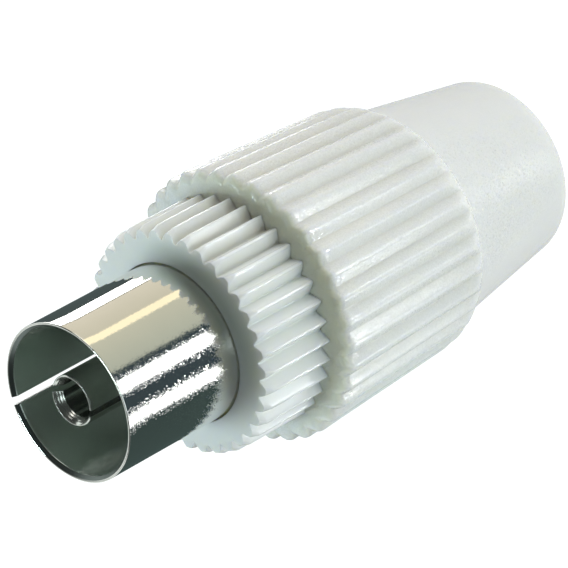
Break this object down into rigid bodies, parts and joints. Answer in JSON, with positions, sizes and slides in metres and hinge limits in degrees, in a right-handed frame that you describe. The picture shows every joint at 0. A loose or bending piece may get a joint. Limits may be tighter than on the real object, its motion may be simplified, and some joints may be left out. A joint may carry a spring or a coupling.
{
  "type": "coaxial socket",
  "caption": "Line socket for a coaxial aerial cable: a slit metal sleeve around a slotted centre contact, in a toothed white collar that screws into a ribbed, tapered white housing.",
  "frame": {"origin": "centre of the tail's flat end, where the socket stands and the cable would enter", "axes": "+Z along the socket's axis from the tail to the sleeve's mouth, +X towards the core screw inside"},
  "size_m": [0.0178, 0.0178, 0.0389],
  "materials": {
    "white_plastic": "satin moulded",
    "nickel": "bright nickel plate on brass",
    "contact_metal": "turned, nickel plated",
    "insulator_plastic": "matt dark plastic",
    "screw_steel": "zinc plated"
  },
  "bodies": {
    "housing": {"rear_housing": "white_plastic"},
    "insert": {"outer_sleeve": "nickel", "insulator": "insulator_plastic", "centre_contact": "contact_metal", "cable_clamp": "nickel"},
    "collar": {"front_collar": "white_plastic"},
    "screw": {"core_screw": "screw_steel"}
  },
  "joints": [
    {"name": "insert_slide", "type": "slide", "parent": "housing", "child": "insert", "axis": [0, 0, 1], "range_m": [0, 0.007]},
    {"name": "collar_turn", "type": "hinge", "parent": "insert", "child": "collar", "pos_m": [0, 0, 0.027], "axis": [0, 0, 1], "range_deg": [0, 2520]},
    {"name": "core_screw_turn", "type": "hinge", "parent": "insert", "child": "screw", "pos_m": [0.002, 0, 0.02098], "axis": [1, 0, 0], "range_deg": [-720, 0]}
  ],
  "couplings": [
    {"joint": "collar_turn", "follows": "insert_slide", "rad_per_m": 6283}
  ]
}
